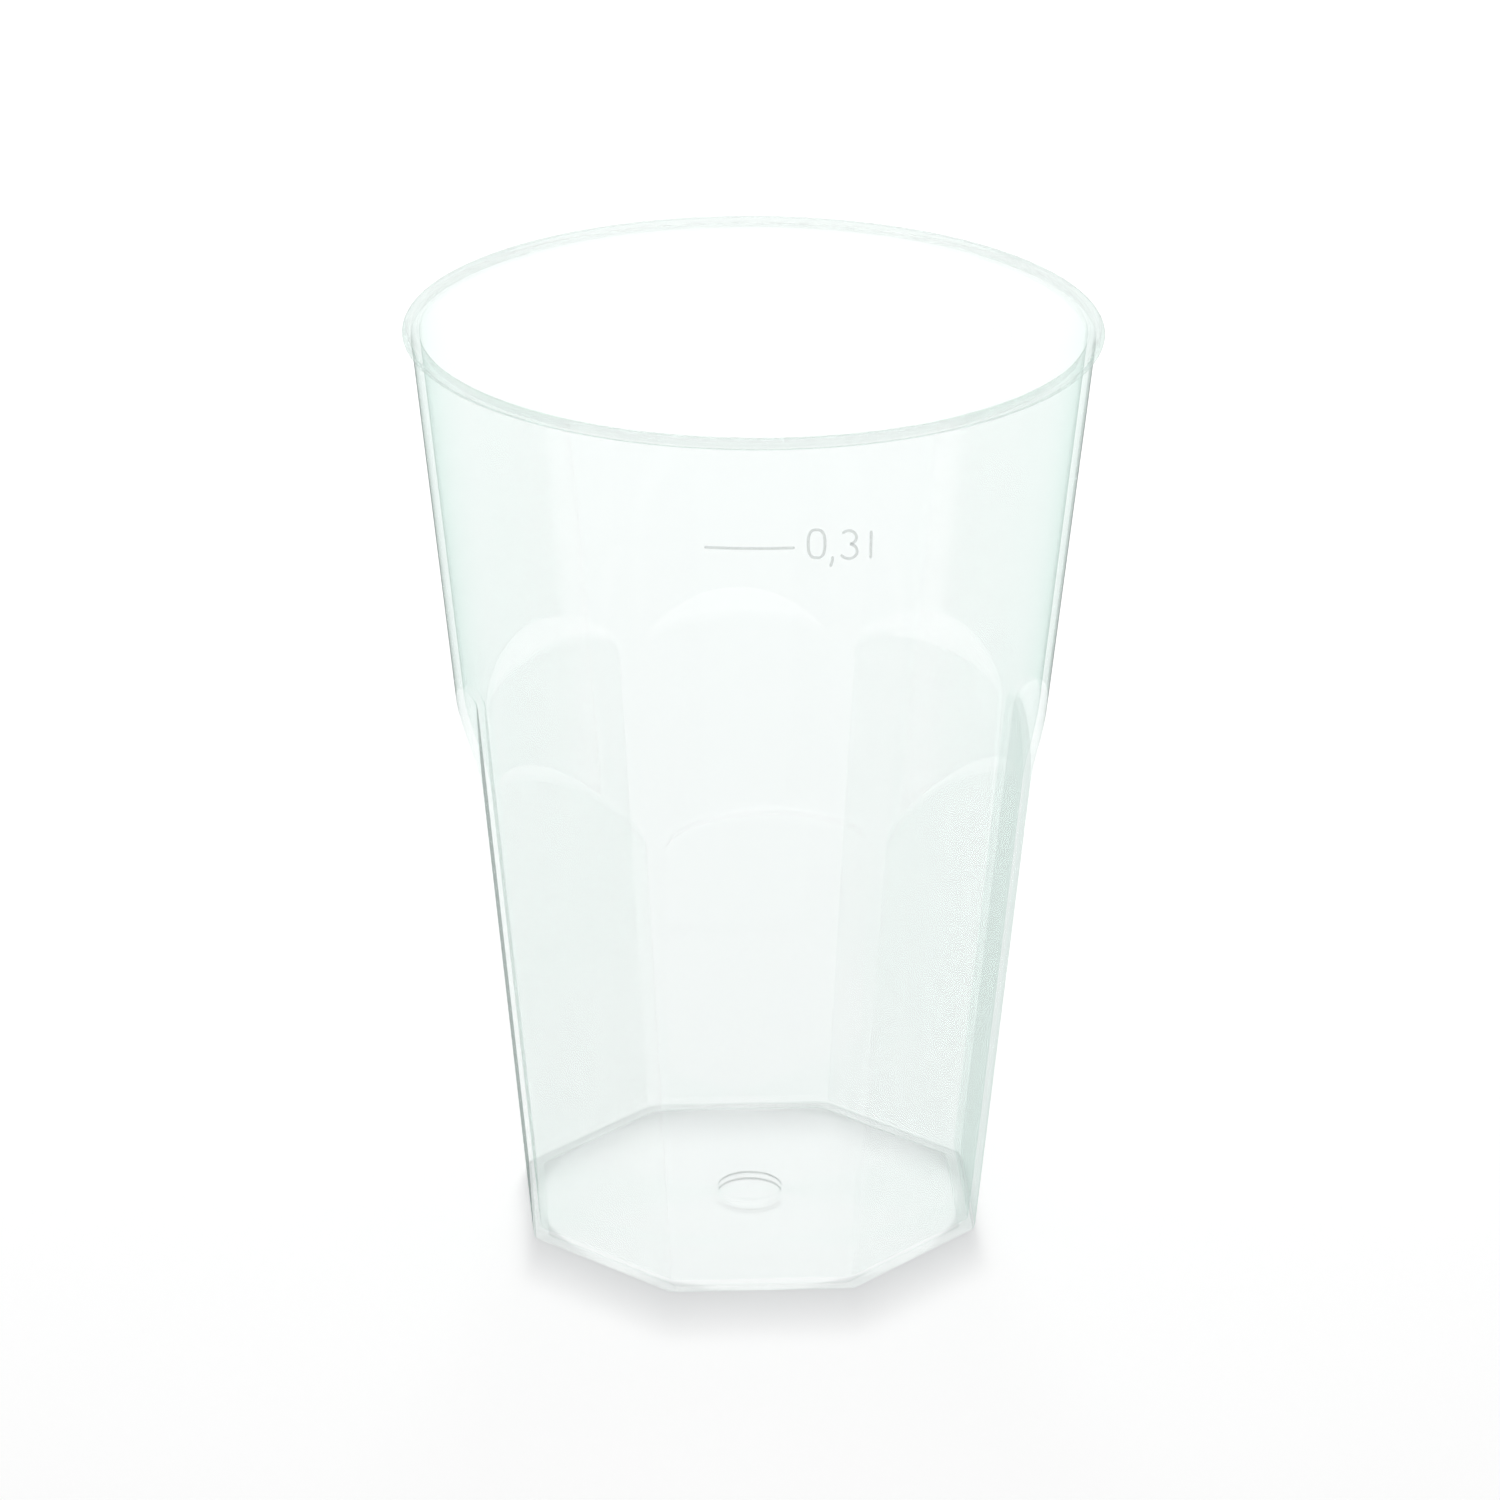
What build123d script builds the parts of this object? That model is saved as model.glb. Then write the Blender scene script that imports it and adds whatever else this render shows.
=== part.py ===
"""Clear moulded tumbler: a round mouth on an eight-sided lower body with arched panels.

The cup is one moulding. Its frame has +Z up and its origin at the middle of the foot, and one
of the eight flat panels faces -Y. All sizes are in millimetres.
"""

from build123d import *

import os
from math import atan2, cos, radians, sin, sqrt, tan

# Overall size
HEIGHT = 111.0
RIM_DIAMETER = 81.0
WALL = 0.95

# Outer cone, from the foot corners past the shoulder of the panels to the underside of the lip
FOOT_CORNER_RADIUS = 28.4
SHOULDER_RADIUS = 34.2
SHOULDER_HEIGHT = 60.0
NECK_RADIUS = 39.5

# Rounded lip that stiffens the mouth
LIP_HEIGHT = 1.1
LIP_OVERHANG = 0.9
LIP_INNER_BEVEL = 0.3

# Flat panels, with strips of the cone left standing between them as narrow pillars
PANEL_COUNT = 8
PILLAR_WIDTH_FOOT = 0.5
PILLAR_WIDTH_SPRING = 2.6
SPRING_HEIGHT = 58.0
ARCH_HEIGHT = 65.5
LEDGE_TURN = 38.0
LEDGE_ROUND = 1.5
LEDGE_INNER_BEVEL = 0.5

# Floor, foot ring and the gate mark at the middle of the floor
FLOOR_TOP = 1.1
FLOOR_CORNER_BEVEL = 0.25
FOOT_EDGE_BEVEL = 0.25
FOOT_RING_WIDTH = 1.8
FOOT_RECESS = 0.25
GATE_DIAMETER = 7.6
GATE_STEP = 0.3

# How far the panel cutters reach past the body, so that they cut right through
OVERSHOOT = 5.0


def cone_radius(height: float) -> float:
    """Outer radius of the body between its panels, at a height above the foot."""
    if height <= SHOULDER_HEIGHT:
        share = height / SHOULDER_HEIGHT
        return FOOT_CORNER_RADIUS + share * (SHOULDER_RADIUS - FOOT_CORNER_RADIUS)
    share = (height - SHOULDER_HEIGHT) / (HEIGHT - LIP_HEIGHT - SHOULDER_HEIGHT)
    return SHOULDER_RADIUS + share * (NECK_RADIUS - SHOULDER_RADIUS)


def panel_distance(height: float, pillar_width: float) -> float:
    """Distance of a panel's face from the axis that leaves a pillar of this width beside it."""
    radius = cone_radius(height)
    half_panel = radians(180.0 / PANEL_COUNT) - pillar_width / (2.0 * radius)
    return radius * cos(half_panel)


FOOT_APOTHEM = panel_distance(0.0, PILLAR_WIDTH_FOOT)
SPRING_APOTHEM = panel_distance(SPRING_HEIGHT, PILLAR_WIDTH_SPRING)
PANEL_LEAN = atan2(SPRING_APOTHEM - FOOT_APOTHEM, SPRING_HEIGHT)
PANEL_HALF_WIDTH = sqrt(cone_radius(SPRING_HEIGHT) ** 2 - SPRING_APOTHEM**2)


def arch_face(plane: Plane, half_width: float, rise: float) -> Face:
    """Upright panel outline on a plane: straight sides under half an ellipse."""
    spring = SPRING_HEIGHT / cos(PANEL_LEAN)
    foot = -OVERSHOOT
    sides = Polyline((half_width, spring), (half_width, foot), (-half_width, foot), (-half_width, spring))
    top = EllipticalCenterArc((0, spring), half_width, rise, start_angle=0, arc_size=180)
    return plane * make_face([sides.edges(), top.edges()])


def panel_cutter(inset: float) -> Part:
    """Tool that cuts the -Y panel, or the panel a wall thickness further in for the core.

    The tool's flat end lies on the panel, and its sloped flank makes the ledge under the arch.
    The corner between the two is rounded on the outside of the cup and bevelled on the inside.
    """
    normal = (0, -cos(PANEL_LEAN), -sin(PANEL_LEAN))
    face_plane = Plane(origin=(0, -FOOT_APOTHEM, 0), x_dir=(1, 0, 0), z_dir=normal).offset(-inset)
    slope = 1.0 / tan(radians(LEDGE_TURN))
    depth_at_top = cone_radius(ARCH_HEIGHT) - FOOT_APOTHEM - ARCH_HEIGHT * tan(PANEL_LEAN)
    rise = ARCH_HEIGHT - SPRING_HEIGHT - depth_at_top * slope
    growth = inset * tan(radians(LEDGE_TURN) / 2.0)
    reach = inset + OVERSHOOT
    near = arch_face(face_plane, PANEL_HALF_WIDTH + growth, rise + growth)
    far_growth = growth + reach * slope
    far = arch_face(face_plane.offset(reach), PANEL_HALF_WIDTH + far_growth, rise + far_growth)
    tool = loft([near, far], ruled=True)
    arch_edge = tool.edges().filter_by(GeomType.ELLIPSE).sort_by_distance((0, 0, SPRING_HEIGHT))[0]
    if inset > 0:
        return chamfer(arch_edge, LEDGE_INNER_BEVEL)
    return fillet(arch_edge, LEDGE_ROUND)


def cut_panels(body: Part, inset: float) -> Part:
    """Cut the ring of panels out of a round body."""
    tool = panel_cutter(inset)
    turn = 360.0 / PANEL_COUNT
    return body - [Rot(Z=turn * index) * tool for index in range(PANEL_COUNT)]


def outer_body() -> Part:
    """Solid of the cup's outside: cone, lip and panels."""
    rim_radius = RIM_DIAMETER / 2
    lip_start = HEIGHT - LIP_HEIGHT
    wall = Polyline((0, 0), (FOOT_CORNER_RADIUS, 0), (SHOULDER_RADIUS, SHOULDER_HEIGHT), (NECK_RADIUS, lip_start))
    underside = Line((NECK_RADIUS, lip_start), (rim_radius - LIP_OVERHANG, lip_start))
    nose_centre = (rim_radius - LIP_OVERHANG, HEIGHT - LIP_HEIGHT / 2)
    nose = EllipticalCenterArc(nose_centre, LIP_OVERHANG, LIP_HEIGHT / 2, start_angle=-90, arc_size=180)
    top = Polyline((rim_radius - LIP_OVERHANG, HEIGHT), (0, HEIGHT), (0, 0))
    profile = make_face([*wall.edges(), *underside.edges(), *nose.edges(), *top.edges()])
    return cut_panels(revolve(Plane.XZ * profile, Axis.Z), 0.0)


def core() -> Part:
    """Solid of the space inside the cup, one wall thickness inside the outer form."""
    mouth_radius = NECK_RADIUS - WALL
    profile = Polyline(
        (0, FLOOR_TOP),
        (cone_radius(FLOOR_TOP) - WALL, FLOOR_TOP),
        (SHOULDER_RADIUS - WALL, SHOULDER_HEIGHT),
        (mouth_radius, HEIGHT - LIP_INNER_BEVEL),
        (mouth_radius + LIP_INNER_BEVEL, HEIGHT),
        (0, HEIGHT),
        close=True,
    )
    space = cut_panels(revolve(Plane.XZ * make_face(profile), Axis.Z), WALL)
    floor_edges = space.faces().sort_by(Axis.Z)[0].edges()
    return chamfer(floor_edges, FLOOR_CORNER_BEVEL)


def foot_recess() -> Part:
    """Shallow octagonal recess that leaves the cup standing on a narrow ring."""
    outline = RegularPolygon(
        FOOT_APOTHEM - FOOT_RING_WIDTH, PANEL_COUNT, major_radius=False, rotation=180.0 / PANEL_COUNT
    )
    return extrude(outline, FOOT_RECESS)


def gate_disc(bottom: float) -> Part:
    """Low disc at the middle of the floor, used below as a dimple and above as a boss."""
    return Pos(0, 0, bottom) * extrude(Circle(GATE_DIAMETER / 2), GATE_STEP)


def build_cup() -> Part:
    """The whole moulding as one solid."""
    body = outer_body()
    foot_edges = body.faces().sort_by(Axis.Z)[0].edges()
    body = chamfer(foot_edges, FOOT_EDGE_BEVEL)
    cup = body - core() - foot_recess() - gate_disc(FOOT_RECESS)
    return cup + gate_disc(FLOOR_TOP)


if __name__ == "__main__":
    os.makedirs("parts", exist_ok=True)
    cup = build_cup()
    cup.label = "cup"
    export_step(cup, "parts/cup.step")
    print(f"cup: {cup.volume / 1000.0:.2f} cm3, valid {cup.is_valid}, solids {len(cup.solids())}")
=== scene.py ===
"""Clear moulded tumbler on a white studio floor.

The cup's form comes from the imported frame. This script gives it its clear plastic, its fill mark
and the studio round it. Lengths are in metres, in the frame's own axes.
"""

from __future__ import annotations

import logging
import math
from dataclasses import dataclass
from enum import Enum

import bmesh
import bpy
from mathutils import Matrix, Vector


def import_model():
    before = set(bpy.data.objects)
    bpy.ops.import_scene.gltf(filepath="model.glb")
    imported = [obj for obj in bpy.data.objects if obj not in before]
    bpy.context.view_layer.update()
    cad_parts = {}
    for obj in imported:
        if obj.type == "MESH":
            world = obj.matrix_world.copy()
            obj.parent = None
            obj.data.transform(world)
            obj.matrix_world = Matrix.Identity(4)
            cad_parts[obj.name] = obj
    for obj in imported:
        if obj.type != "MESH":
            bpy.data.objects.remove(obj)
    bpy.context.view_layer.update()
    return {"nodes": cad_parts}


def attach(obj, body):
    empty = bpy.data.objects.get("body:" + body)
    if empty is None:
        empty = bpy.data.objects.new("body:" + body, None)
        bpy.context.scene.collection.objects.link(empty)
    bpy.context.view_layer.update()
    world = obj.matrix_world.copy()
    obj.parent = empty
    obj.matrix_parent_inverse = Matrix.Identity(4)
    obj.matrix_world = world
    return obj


LOG = logging.getLogger("tumbler")
MM = 0.001
BODY = "root"
CUP_NODE = "cup"


class Maths(Enum):
    """Operations of a Math node that expressions on sockets use."""

    ADD = "ADD"
    SUBTRACT = "SUBTRACT"
    MULTIPLY = "MULTIPLY"
    DIVIDE = "DIVIDE"
    POWER = "POWER"
    MAXIMUM = "MAXIMUM"
    GREATER_THAN = "GREATER_THAN"


class Value:
    """A shader socket that can be used in Python expressions."""

    def __init__(self, shader: Shader, socket: bpy.types.NodeSocket) -> None:
        """Keep the shader that the socket belongs to."""
        self.shader = shader
        self.socket = socket

    def _maths(self, operation: Maths, first: Operand, second: Operand) -> Value:
        """Add one Math node.

        Args:
            operation: What the node works out.
            first: Its first input.
            second: Its second input.

        Returns:
            The node's result.
        """
        settings = {"operation": operation.value}
        return self.shader.node("ShaderNodeMath", settings, {0: first, 1: second})

    def __add__(self, other: Operand) -> Value:
        """Sum of this and another value."""
        return self._maths(Maths.ADD, self, other)

    def __radd__(self, other: Operand) -> Value:
        """Sum of another value and this."""
        return self._maths(Maths.ADD, other, self)

    def __sub__(self, other: Operand) -> Value:
        """This less another value."""
        return self._maths(Maths.SUBTRACT, self, other)

    def __rsub__(self, other: Operand) -> Value:
        """Another value less this."""
        return self._maths(Maths.SUBTRACT, other, self)

    def __mul__(self, other: Operand) -> Value:
        """Product of this and another value."""
        return self._maths(Maths.MULTIPLY, self, other)

    def __rmul__(self, other: Operand) -> Value:
        """Product of another value and this."""
        return self._maths(Maths.MULTIPLY, other, self)

    def __truediv__(self, other: Operand) -> Value:
        """This over another value."""
        return self._maths(Maths.DIVIDE, self, other)

    def __rtruediv__(self, other: Operand) -> Value:
        """Another value over this."""
        return self._maths(Maths.DIVIDE, other, self)

    def __pow__(self, other: Operand) -> Value:
        """This to the power of another value."""
        return self._maths(Maths.POWER, self, other)

    def __rpow__(self, other: Operand) -> Value:
        """Another value to the power of this."""
        return self._maths(Maths.POWER, other, self)

    def above(self, other: Operand) -> Value:
        """1 where this is larger than another value, and 0 elsewhere."""
        return self._maths(Maths.GREATER_THAN, self, other)

    def greater(self, other: Operand) -> Value:
        """The larger of this and another value."""
        return self._maths(Maths.MAXIMUM, self, other)

    def output(self, name: str) -> Value:
        """Another output of the same node."""
        return Value(self.shader, self.socket.node.outputs[name])


Operand = Value | float
Setting = str | float | bool | tuple
Colour = tuple[float, float, float, float]


class Shader:
    """Node tree of one material or world, filled by one node method."""

    def __init__(self, tree: bpy.types.NodeTree) -> None:
        """Start with an empty tree."""
        self.tree = tree
        tree.nodes.clear()

    def node(
        self,
        kind: str,
        settings: dict[str, Setting],
        inputs: dict[str | int, Operand | tuple],
        output: str | int = 0,
    ) -> Value:
        """Add one node.

        Args:
            kind: Blender's type name of the node.
            settings: Properties of the node, set before its sockets.
            inputs: Values or links of its input sockets, by name or place.
            output: The output that the result stands for.

        Returns:
            That output as a value.
        """
        made = self.tree.nodes.new(kind)
        for name, setting in settings.items():
            if name == "stops":
                self._set_stops(made, setting)
            else:
                setattr(made, name, setting)
        for name, given in inputs.items():
            if isinstance(given, Value):
                self.tree.links.new(given.socket, made.inputs[name])
            else:
                made.inputs[name].default_value = given
        return Value(self, made.outputs[output])

    def _set_stops(self, made: bpy.types.Node, stops: tuple) -> None:
        """Give a colour ramp its stops.

        Args:
            made: The ramp node.
            stops: Pairs of position and colour, from low to high.
        """
        ramp = made.color_ramp
        while len(ramp.elements) < len(stops):
            ramp.elements.new(1.0)
        for element, (position, colour) in zip(ramp.elements, stops):
            element.position = position
            element.color = colour

    def noise(self, place: Value, scale: float, detail: float) -> Value:
        """Add a noise texture.

        Args:
            place: Where each point lies.
            scale: Size of the pattern, larger for finer noise.
            detail: How many finer layers it has.

        Returns:
            A value from 0 to 1 that changes from place to place.
        """
        return self.node("ShaderNodeTexNoise", {}, {"Vector": place, "Scale": scale, "Detail": detail})

    def blend(self, share: Value, low: Colour, high: Colour) -> Value:
        """Mix two colours.

        Args:
            share: How much of the second colour shows.
            low: Colour where the share is 0.
            high: Colour where the share is 1.

        Returns:
            The mixed colour.
        """
        return self.node("ShaderNodeMix", {"data_type": "RGBA"}, {"Factor": share, 6: low, 7: high}, 2)

    def flatten(self, vector: Value) -> Value:
        """The level part of a vector."""
        flat = (1.0, 1.0, 0.0)
        return self.node("ShaderNodeVectorMath", {"operation": "MULTIPLY"}, {0: vector, 1: flat})

    def surface(self, kind: str, shader: Value) -> None:
        """Link a shader to the tree's output.

        Args:
            kind: Blender's type name of the output node.
            shader: The shader to show.
        """
        made = self.tree.nodes.new(kind)
        self.tree.links.new(shader.socket, made.inputs["Surface"])


@dataclass(frozen=True)
class ClearPlastic:
    """Clear moulded plastic with a faint green cast, slight flow ripples and fine handling haze.

    Most light passes straight through, tinted at each crossing, with painted dark shade where a wall is seen
    nearly edge-on. The rest is bent and mirrored.
    Heights and the radius are in the cup's own axes, from the middle of its foot.
    """

    name: str = "clear_plastic"
    refraction: float = 1.5
    see_through: float = 0.90
    ledge_clearness: float = 0.5
    lip_height: float = 109.7 * MM
    lip_glassiness: float = 0.20
    ring_height: float = 0.15 * MM
    face_tint: Colour = (0.966, 0.976, 0.973, 1.0)
    flat_tint: Colour = (0.994, 0.998, 0.997, 1.0)
    rim_tint: Colour = (0.893, 0.922, 0.911, 1.0)
    slant_tint: Colour = (0.87, 0.94, 0.917, 1.0)
    slant_power: float = 3.0
    # Painted shade: near-black tint for the dark lines where a wall is seen nearly edge-on, standing in for
    # light that bends away there
    painted_edge_shade: Colour = (0.08, 0.12, 0.11, 1.0)
    edge_shade_power: float = 14.0
    inner_edge_shade: float = 0.3
    glass_low: Colour = (0.945, 0.970, 0.963, 1.0)
    glass_high: Colour = (0.960, 0.982, 0.975, 1.0)
    shade_foot: Colour = (0.40, 0.40, 0.42, 1.0)
    shade_top: Colour = (0.985, 0.985, 0.985, 1.0)
    shade_height: float = 14.0 * MM
    shade_radius: float = 25.2 * MM
    roughness_low: float = 0.012
    roughness_high: float = 0.035
    ripple_scale: float = 55.0
    ripple_height: float = 0.02 * MM
    haze_scale: float = 900.0

    def material(self) -> bpy.types.Material:
        """Build the material.

        Returns:
            The finished material.
        """
        made = bpy.data.materials.new(self.name)
        made.use_nodes = True
        shader = Shader(made.node_tree)
        place = shader.node("ShaderNodeTexCoord", {}, {}, "Object")
        height = shader.node("ShaderNodeSeparateXYZ", {}, {0: place}, "Z")
        lip = height.above(self.lip_height)
        rims = lip.greater(1.0 - height.above(self.ring_height))
        level = self._level(shader)
        clearer = level * level * (1.0 - level) * self.ledge_clearness
        straight_share = self.see_through + clearer - lip * self.lip_glassiness
        bending = self._bending(shader, place)
        straight = self._straight(shader, place, lip, rims)
        body = shader.node("ShaderNodeMixShader", {}, {0: straight_share, 1: bending, 2: straight})
        lamp = shader.node("ShaderNodeLightPath", {}, {}, "Is Shadow Ray")
        both = shader.node("ShaderNodeMixShader", {}, {0: lamp, 1: body, 2: self._shade(shader, place)})
        shader.surface("ShaderNodeOutputMaterial", both)
        return made

    def _bending(self, shader: Shader, place: Value) -> Value:
        """Bend and mirror light, with the moulding's ripples and a fine haze.

        Args:
            shader: The tree to add to.
            place: Where each point lies.

        Returns:
            The shader for the share of light that the plastic bends.
        """
        haze = shader.noise(place, self.haze_scale, 3.0)
        ripple = shader.noise(place, self.ripple_scale, 1.0)
        bump = shader.node(
            "ShaderNodeBump", {}, {"Strength": 1.0, "Distance": self.ripple_height, "Height": ripple}
        )
        spread = self.roughness_high - self.roughness_low
        return shader.node(
            "ShaderNodeBsdfPrincipled",
            {"distribution": "MULTI_GGX"},
            {
                "Base Color": shader.blend(ripple, self.glass_low, self.glass_high),
                "Roughness": haze * spread + self.roughness_low,
                "IOR": self.refraction,
                "Transmission Weight": 1.0,
                "Normal": bump,
            },
        )

    def _level(self, shader: Shader) -> Value:
        """How level the surface is, from 0 where it is upright to 1 where it lies flat."""
        normal = shader.node("ShaderNodeNewGeometry", {}, {}, "Normal")
        upright = shader.node("ShaderNodeVectorMath", {"operation": "ABSOLUTE"}, {0: normal})
        return shader.node("ShaderNodeSeparateXYZ", {}, {0: upright}, "Z")

    def _straight(self, shader: Shader, place: Value, lip: Value, rims: Value) -> Value:
        """Let light pass unbent, tinted more where it crosses the wall at a slant, with painted dark shade
        where the wall is seen nearly edge-on.

        Args:
            shader: The tree to add to.
            place: Where each point lies.
            lip: 1 on the lip, and 0 elsewhere.
            rims: 1 on the lip and under the foot ring, and 0 elsewhere.

        Returns:
            The shader for the share of light that passes unbent.
        """
        level = self._level(shader)
        facing = shader.node("ShaderNodeLayerWeight", {}, {"Blend": 0.5}, "Facing")
        slant = facing * (1.0 - level * level * (1.0 - lip))
        face_on = shader.node("ShaderNodeBsdfTransparent", {}, {"Color": self.face_tint})
        flat = shader.node("ShaderNodeBsdfTransparent", {}, {"Color": self.flat_tint})
        thick = shader.node("ShaderNodeBsdfTransparent", {}, {"Color": self.rim_tint})
        slanting = shader.node("ShaderNodeBsdfTransparent", {}, {"Color": self.slant_tint})
        edge = shader.node("ShaderNodeBsdfTransparent", {}, {"Color": self.painted_edge_shade})
        sheet = shader.node("ShaderNodeMixShader", {}, {0: level * level, 1: face_on, 2: flat})
        shell = shader.node("ShaderNodeMixShader", {}, {0: rims, 1: sheet, 2: thick})
        wall = shader.node("ShaderNodeMixShader", {}, {0: slant**self.slant_power, 1: shell, 2: slanting})
        # Painted shade: dark line where the wall is seen nearly edge-on, full on the outside and weaker on
        # the inside
        strength = self._outward(shader, place) * (1.0 - self.inner_edge_shade) + self.inner_edge_shade
        line = slant**self.edge_shade_power * strength
        return shader.node("ShaderNodeMixShader", {}, {0: line, 1: wall, 2: edge})

    def _outward(self, shader: Shader, place: Value) -> Value:
        """Tell the cup's outside from its inside.

        Args:
            shader: The tree to add to.
            place: Where each point lies.

        Returns:
            1 on the outside, and 0 on the inside.
        """
        normal = shader.node("ShaderNodeNewGeometry", {}, {}, "Normal")
        product = {"operation": "DOT_PRODUCT"}
        out = shader.node("ShaderNodeVectorMath", product, {0: normal, 1: place}, "Value")
        turned = normal.output("Backfacing")
        return (out * (1.0 - turned * 2.0)).above(0.0)

    def _shade(self, shader: Shader, place: Value) -> Value:
        """Let lamp light through, least at the lower wall.

        Args:
            shader: The tree to add to.
            place: Where each point lies.

        Returns:
            The shader for light on its way from a lamp.
        """
        foot = shader.node("ShaderNodeBsdfTransparent", {}, {"Color": self.shade_foot})
        top = shader.node("ShaderNodeBsdfTransparent", {}, {"Color": self.shade_top})
        height = shader.node("ShaderNodeSeparateXYZ", {}, {0: place}, "Z")
        level = shader.flatten(place)
        radius = shader.node("ShaderNodeVectorMath", {"operation": "LENGTH"}, {0: level}, "Value")
        clear = (height / self.shade_height).greater(1.0 - radius.above(self.shade_radius))
        return shader.node("ShaderNodeMixShader", {}, {0: clear, 1: foot, 2: top})


@dataclass(frozen=True)
class MarkPlastic:
    """Raised strokes of the same plastic, which scatter a little light and so look pale grey."""

    name: str = "raised_strokes"
    pass_tint: Colour = (0.90, 0.905, 0.905, 1.0)
    colour_low: Colour = (0.62, 0.68, 0.66, 1.0)
    colour_high: Colour = (0.74, 0.79, 0.77, 1.0)
    roughness_low: float = 0.3
    roughness_high: float = 0.5
    share_low: float = 0.05
    share_high: float = 0.12
    grain_scale: float = 2500.0

    def material(self) -> bpy.types.Material:
        """Build the material.

        Returns:
            The finished material.
        """
        made = bpy.data.materials.new(self.name)
        made.use_nodes = True
        shader = Shader(made.node_tree)
        place = shader.node("ShaderNodeTexCoord", {}, {}, "Object")
        grain = shader.noise(place, self.grain_scale, 2.0)
        spread = self.roughness_high - self.roughness_low
        worn = shader.node(
            "ShaderNodeBsdfPrincipled",
            {},
            {
                "Base Color": shader.blend(grain, self.colour_low, self.colour_high),
                "Roughness": grain * spread + self.roughness_low,
            },
        )
        clear = shader.node("ShaderNodeBsdfTransparent", {}, {"Color": self.pass_tint})
        share = grain * (self.share_high - self.share_low) + self.share_low
        both = shader.node("ShaderNodeMixShader", {}, {0: share, 1: clear, 2: worn})
        shader.surface("ShaderNodeOutputMaterial", both)
        return made


Point = tuple[float, float]


@dataclass(frozen=True)
class Bowl:
    """Part of an oval, in shares of a figure's height and half width, with angles in degrees."""

    centre: float
    rise: float
    width: float
    first: float
    last: float
    steps: int = 14


@dataclass
class FillMark:
    """Fill mark in fine relief on the front wall: a level line with plain figures beside it.

    Places on the wall are in millimetres: across to the right of the middle of the front panel,
    and up from the foot. The shoulder and the neck are where the wall's cone starts and ends.
    """

    name: str = "fill_mark"
    line_start: float = -7.64
    line_end: float = 2.52
    line_height: float = 97.67
    stroke_width: float = 0.34
    relief: float = 0.10
    sink: float = 0.01
    figure_height: float = 3.48
    baseline: float = 96.29
    fall: float = 0.115
    nought_middle: float = 4.96
    nought_half_width: float = 0.95
    nought_roundness: float = 0.75
    nought_points: int = 40
    comma_across: tuple[float, ...] = (6.82, 6.78, 6.58)
    comma_up: tuple[float, ...] = (0.08, -0.10, -0.30)
    three_middle: float = 8.66
    three_half_width: float = 1.0
    upper_bowl: Bowl = Bowl(centre=0.76, rise=0.24, width=0.88, first=150.0, last=-80.0)
    lower_bowl: Bowl = Bowl(centre=0.265, rise=0.265, width=1.0, first=80.0, last=-155.0)
    unit_place: float = 11.28
    step: float = 0.12
    section_points: int = 7
    least_end: float = 0.25
    shoulder_radius: float = 34.2
    shoulder_height: float = 60.0
    neck_radius: float = 39.5
    neck_height: float = 109.9

    def build(self) -> bpy.types.Object:
        """Build the mark's strokes as one piece.

        Returns:
            The piece.
        """
        shape = bmesh.new()
        strokes = self._strokes()
        for path, closed in strokes:
            self._sweep(shape, path, closed)
        bmesh.ops.recalc_face_normals(shape, faces=shape.faces)
        mesh = bpy.data.meshes.new(self.name)
        shape.to_mesh(mesh)
        shape.free()
        mesh.shade_smooth()
        mesh.materials.append(MarkPlastic().material())
        piece = bpy.data.objects.new(self.name, mesh)
        bpy.context.scene.collection.objects.link(piece)
        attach(piece, BODY)
        LOG.info("%s: %d strokes, %d faces", self.name, len(strokes), len(mesh.polygons))
        return piece

    def _strokes(self) -> list[tuple[list[Point], bool]]:
        """Centre lines of the strokes.

        Returns:
            Each stroke's points on the wall, and whether it closes on itself.
        """
        line = [(self.line_start, self.line_height), (self.line_end, self.line_height)]
        comma = self._set(self.comma_across, self.comma_up)
        unit = self._set((self.unit_place, self.unit_place), (0.0, 1.0))
        return [(line, False), (self._nought(), True), (comma, False), (self._three(), False), (unit, False)]

    def _set(self, across: tuple[float, ...], up: tuple[float, ...]) -> list[Point]:
        """Place points on the figures' line of writing.

        Args:
            across: Places across the wall.
            up: Heights above the line of writing, as shares of a figure's height.

        Returns:
            The points on the wall.
        """
        line = [self.baseline - self.fall * (x - self.nought_middle) for x in across]
        return [(x, foot + share * self.figure_height) for x, foot, share in zip(across, line, up)]

    def _nought(self) -> list[Point]:
        """Upright oval with nearly straight sides.

        Returns:
            The points of the loop.
        """
        across, up = [], []
        for index in range(self.nought_points):
            angle = 2.0 * math.pi * index / self.nought_points
            x, y = math.sin(angle), math.cos(angle)
            bulge_x = math.copysign(abs(x) ** self.nought_roundness, x)
            bulge_y = math.copysign(abs(y) ** self.nought_roundness, y)
            across.append(self.nought_middle + self.nought_half_width * bulge_x)
            up.append(0.5 + 0.5 * bulge_y)
        return self._set(tuple(across), tuple(up))

    def _three(self) -> list[Point]:
        """Two open bowls, the lower a little larger.

        Returns:
            The points from the upper left end to the lower left end.
        """
        across, up = [], []
        for bowl in (self.upper_bowl, self.lower_bowl):
            for index in range(bowl.steps + 1):
                angle = math.radians(bowl.first + (bowl.last - bowl.first) * index / bowl.steps)
                across.append(self.three_middle + self.three_half_width * bowl.width * math.cos(angle))
                up.append(bowl.centre + bowl.rise * math.sin(angle))
        return self._set(tuple(across), tuple(up))

    def _wrap(self, across: float, up: float, out: float) -> Vector:
        """Point on or above the conical wall.

        Args:
            across: Distance round the wall.
            up: Height above the foot.
            out: Distance out from the wall.

        Returns:
            The point in metres.
        """
        share = (up - self.shoulder_height) / (self.neck_height - self.shoulder_height)
        wall = self.shoulder_radius + share * (self.neck_radius - self.shoulder_radius)
        turn = across / wall
        radius = wall + out
        return Vector((radius * math.sin(turn), -radius * math.cos(turn), up)) * MM

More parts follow.
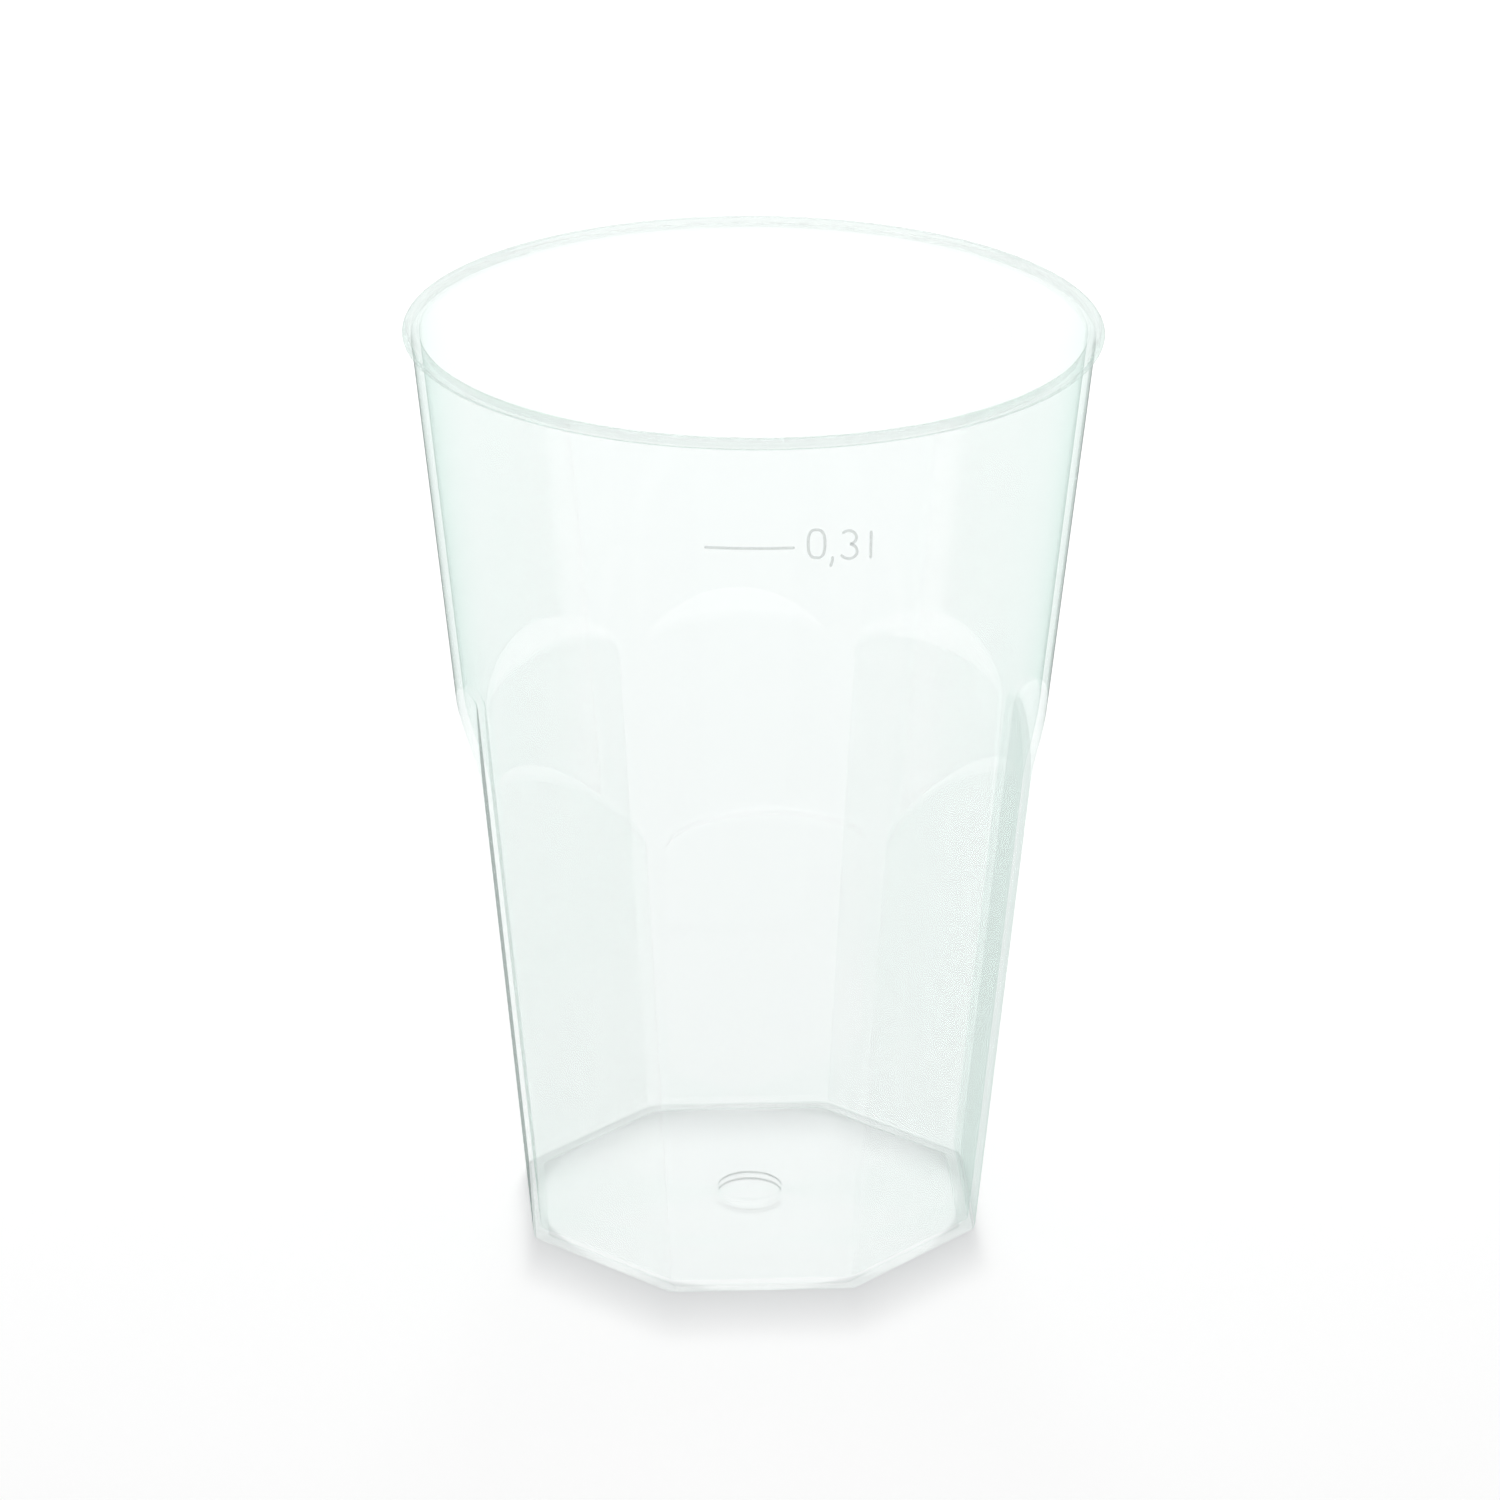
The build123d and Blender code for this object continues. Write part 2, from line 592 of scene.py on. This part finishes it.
    def _divide(self, path: list[Point], closed: bool) -> list[Point]:
        """Divide a path into short even steps.

        Args:
            path: Its points.
            closed: Whether it closes on itself.

        Returns:
            The points of the finer path.
        """
        ends = path[1:] + path[:1] if closed else path[1:]
        fine = []
        for (x0, y0), (x1, y1) in zip(path, ends):
            parts = max(1, round(math.hypot(x1 - x0, y1 - y0) / self.step))
            fine += [(x0 + (x1 - x0) * k / parts, y0 + (y1 - y0) * k / parts) for k in range(parts)]
        return fine if closed else fine + [path[-1]]

    def _sweep(self, shape: bmesh.types.BMesh, path: list[Point], closed: bool) -> None:
        """Raise one stroke with a rounded section along its centre line.

        Args:
            shape: The mesh to add to.
            path: The centre line's points on the wall.
            closed: Whether it closes on itself.
        """
        points = self._divide(path, closed)
        count = len(points)
        rings = []
        for index, (x, y) in enumerate(points):
            before = points[index - 1] if closed or index else points[0]
            after = points[(index + 1) % count] if closed or index < count - 1 else points[-1]
            run = Vector((after[0] - before[0], after[1] - before[1])).normalized()
            taper = 1.0 if closed else self._taper(index, count)
            ring = []
            for part in range(self.section_points):
                angle = math.pi * part / (self.section_points - 1)
                aside = math.cos(angle) * self.stroke_width / 2.0 * taper
                out = math.sin(angle) * self.relief * taper - self.sink
                ring.append(shape.verts.new(self._wrap(x - run.y * aside, y + run.x * aside, out)))
            rings.append(ring)
        pairs = list(zip(rings, rings[1:] + rings[:1])) if closed else list(zip(rings, rings[1:]))
        for first, second in pairs:
            for part in range(self.section_points):
                after = (part + 1) % self.section_points
                shape.faces.new((first[part], first[after], second[after], second[part]))
        if not closed:
            shape.faces.new(rings[0])
            shape.faces.new(rings[-1])

    def _taper(self, index: int, count: int) -> float:
        """Size of an open stroke's section at a point, rounding off at both ends."""
        reach = min(index, count - 1 - index) * self.step / (self.stroke_width / 2.0)
        inward = 1.0 - min(reach, 1.0)
        return max(self.least_end, math.sqrt(1.0 - inward**2))


@dataclass(frozen=True)
class SideFlats:
    """Pale green flats at both sides of the set, which only clear and glossy parts show."""

    front: Colour = (1.0, 1.0, 1.0, 1.0)
    side: Colour = (0.80, 0.93, 0.88, 1.0)
    start: float = 0.90
    end: float = 0.97

    def glow(self, shader: Shader, kind: str, direction: Value) -> Value:
        """Shine with the colour of the set in a direction from the cup.

        Args:
            shader: The tree to add to.
            kind: Blender's type name of the shining shader.
            direction: The direction, as a vector of any length.

        Returns:
            The shining shader.
        """
        level = shader.flatten(direction)
        unit = shader.node("ShaderNodeVectorMath", {"operation": "NORMALIZE"}, {0: level})
        across = shader.node("ShaderNodeVectorMath", {"operation": "ABSOLUTE"}, {0: unit})
        sideways = shader.node("ShaderNodeSeparateXYZ", {}, {0: across})
        stops = ((self.start, (0.0, 0.0, 0.0, 1.0)), (self.end, (1.0, 1.0, 1.0, 1.0)))
        share = shader.node("ShaderNodeValToRGB", {"stops": stops}, {0: sideways})
        front = shader.node(kind, {}, {"Color": self.front, "Strength": 1.0})
        side = shader.node(kind, {}, {"Color": self.side, "Strength": 1.0})
        return shader.node("ShaderNodeMixShader", {}, {0: share, 1: front, 2: side})


@dataclass(frozen=True)
class StudioFloor:
    """White floor that shows as white to the lens and to clear parts, and still takes a shadow."""

    name: str = "studio_floor"
    colour: float = 0.80
    roughness: float = 0.9
    lift: float = 0.34
    grain_scale: float = 40.0
    grain_share: float = 0.004

    def material(self) -> bpy.types.Material:
        """Build the material.

        Returns:
            The finished material.
        """
        made = bpy.data.materials.new(self.name)
        made.use_nodes = True
        shader = Shader(made.node_tree)
        place = shader.node("ShaderNodeTexCoord", {}, {}, "Object")
        shade = shader.noise(place, self.grain_scale, 4.0) * self.grain_share + self.colour
        paint = shader.node("ShaderNodeCombineColor", {}, {0: shade, 1: shade, 2: shade})
        path = shader.node("ShaderNodeLightPath", {}, {}, "Is Camera Ray")
        seen = path.greater(path.output("Is Transmission Ray"))
        glossy = path.output("Is Glossy Ray")
        glow = seen.greater(glossy) * self.lift
        light = shader.node("ShaderNodeCombineColor", {}, {0: glow, 1: glow, 2: glow})
        white = shader.node(
            "ShaderNodeBsdfPrincipled",
            {},
            {
                "Base Color": paint,
                "Roughness": self.roughness,
                "Specular IOR Level": 0.0,
                "Emission Color": light,
                "Emission Strength": 1.0,
            },
        )
        flats = SideFlats().glow(shader, "ShaderNodeEmission", place)
        floor = shader.node("ShaderNodeMixShader", {}, {0: glossy, 1: white, 2: flats})
        shader.surface("ShaderNodeOutputMaterial", floor)
        return made


@dataclass
class Studio:
    """Floor, lamp and world."""

    floor_radius: float = 4.0
    floor_sides: int = 96
    world_light: float = 0.40
    white: Colour = (1.0, 1.0, 1.0, 1.0)
    world_side: Colour = (0.55, 0.70, 0.65, 1.0)
    lamp_place: tuple[float, float, float] = (0.045, 1.0, 1.15)
    lamp_size: float = 0.22
    lamp_power: float = 13.3

    def build(self) -> None:
        """Make the floor, the world and the lamp."""
        self._floor()
        self._world()
        self._lamp()
        LOG.info("studio: floor of radius %.1f m, lamp of %.1f W", self.floor_radius, self.lamp_power)

    def _floor(self) -> None:
        """Make the floor disc."""
        mesh = bpy.data.meshes.new("floor")
        shape = bmesh.new()
        bmesh.ops.create_circle(shape, cap_ends=True, radius=self.floor_radius, segments=self.floor_sides)
        shape.to_mesh(mesh)
        shape.free()
        floor = bpy.data.objects.new("floor", mesh)
        bpy.context.scene.collection.objects.link(floor)
        mesh.materials.append(StudioFloor().material())

    def _world(self) -> None:
        """Light the scene evenly, white to the lens, with the green flats for clear parts."""
        world = bpy.data.worlds.new("studio")
        bpy.context.scene.world = world
        world.use_nodes = True
        shader = Shader(world.node_tree)
        path = shader.node("ShaderNodeLightPath", {}, {}, "Is Camera Ray")
        direction = shader.node("ShaderNodeTexCoord", {}, {}, "Generated")
        light = shader.node("ShaderNodeBackground", {}, {"Color": self.white, "Strength": self.world_light})
        flats = SideFlats(side=self.world_side).glow(shader, "ShaderNodeBackground", direction)
        white = shader.node("ShaderNodeBackground", {}, {"Color": self.white, "Strength": 1.0})
        clear = path.output("Is Glossy Ray").greater(path.output("Is Transmission Ray"))
        inner = shader.node("ShaderNodeMixShader", {}, {0: clear, 1: light, 2: flats})
        both = shader.node("ShaderNodeMixShader", {}, {0: path, 1: inner, 2: white})
        shader.surface("ShaderNodeOutputWorld", both)

    def _lamp(self) -> None:
        """Hang a soft square lamp behind and above the cup, facing its foot."""
        data = bpy.data.lights.new("overhead", "AREA")
        data.shape = "RECTANGLE"
        data.size, data.size_y = self.lamp_size, self.lamp_size
        data.energy = self.lamp_power
        lamp = bpy.data.objects.new("overhead", data)
        lamp.location = self.lamp_place
        lamp.rotation_euler = Vector(self.lamp_place).to_track_quat("Z", "Y").to_euler()
        lamp.visible_glossy = False
        lamp.visible_transmission = False
        bpy.context.scene.collection.objects.link(lamp)


@dataclass
class Viewpoint:
    """Camera that looks down on the front panel from a little to its left.

    Angles are in degrees. The focal length and the image width are in pixels, the sensor in mm.
    """

    distance: float = 0.905008
    elevation: float = 22.113
    turn: float = -3.294
    aim_height: float = 0.057947
    side_step: float = -0.000207
    roll: float = 0.242
    focal_pixels: float = 7678.43
    image_pixels: float = 1500.0
    sensor: float = 36.0

    def build(self) -> bpy.types.Object:
        """Make the camera and set it as the scene's own.

        Returns:
            The camera.
        """
        data = bpy.data.cameras.new("camera")
        data.sensor_width = self.sensor
        data.lens = self.focal_pixels / self.image_pixels * self.sensor
        data.clip_start = 0.01
        data.clip_end = 20.0
        camera = bpy.data.objects.new("camera", data)
        tilt, turn, roll = (math.radians(a) for a in (self.elevation, self.turn, self.roll))
        spin = Matrix.Rotation(turn, 3, "Z")
        back = spin @ Vector((0.0, -math.cos(tilt), math.sin(tilt)))
        side = spin @ Vector((1.0, 0.0, 0.0))
        rise = back.cross(side)
        right = math.cos(roll) * side + math.sin(roll) * rise
        up = math.cos(roll) * rise - math.sin(roll) * side
        place = side * self.side_step + Vector((0.0, 0.0, self.aim_height)) + back * self.distance
        pose = Matrix((right, up, back)).transposed().to_4x4()
        pose.translation = place
        camera.matrix_world = pose
        bpy.context.scene.collection.objects.link(camera)
        bpy.context.scene.camera = camera
        LOG.info("camera: lens %.1f mm at %s", data.lens, tuple(round(c, 4) for c in place))
        return camera


def main() -> None:
    """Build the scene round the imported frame."""
    logging.basicConfig(level=logging.INFO, format="%(name)s: %(message)s")
    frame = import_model()
    Viewpoint().build()
    Studio().build()
    cup = frame["nodes"][CUP_NODE]
    cup.data.materials.clear()
    cup.data.materials.append(ClearPlastic().material())
    LOG.info("%s: %d faces of the frame's own form", CUP_NODE, len(cup.data.polygons))
    FillMark().build()
    bpy.context.scene.view_settings.view_transform = "Standard"


if __name__ == "__main__":
    main()
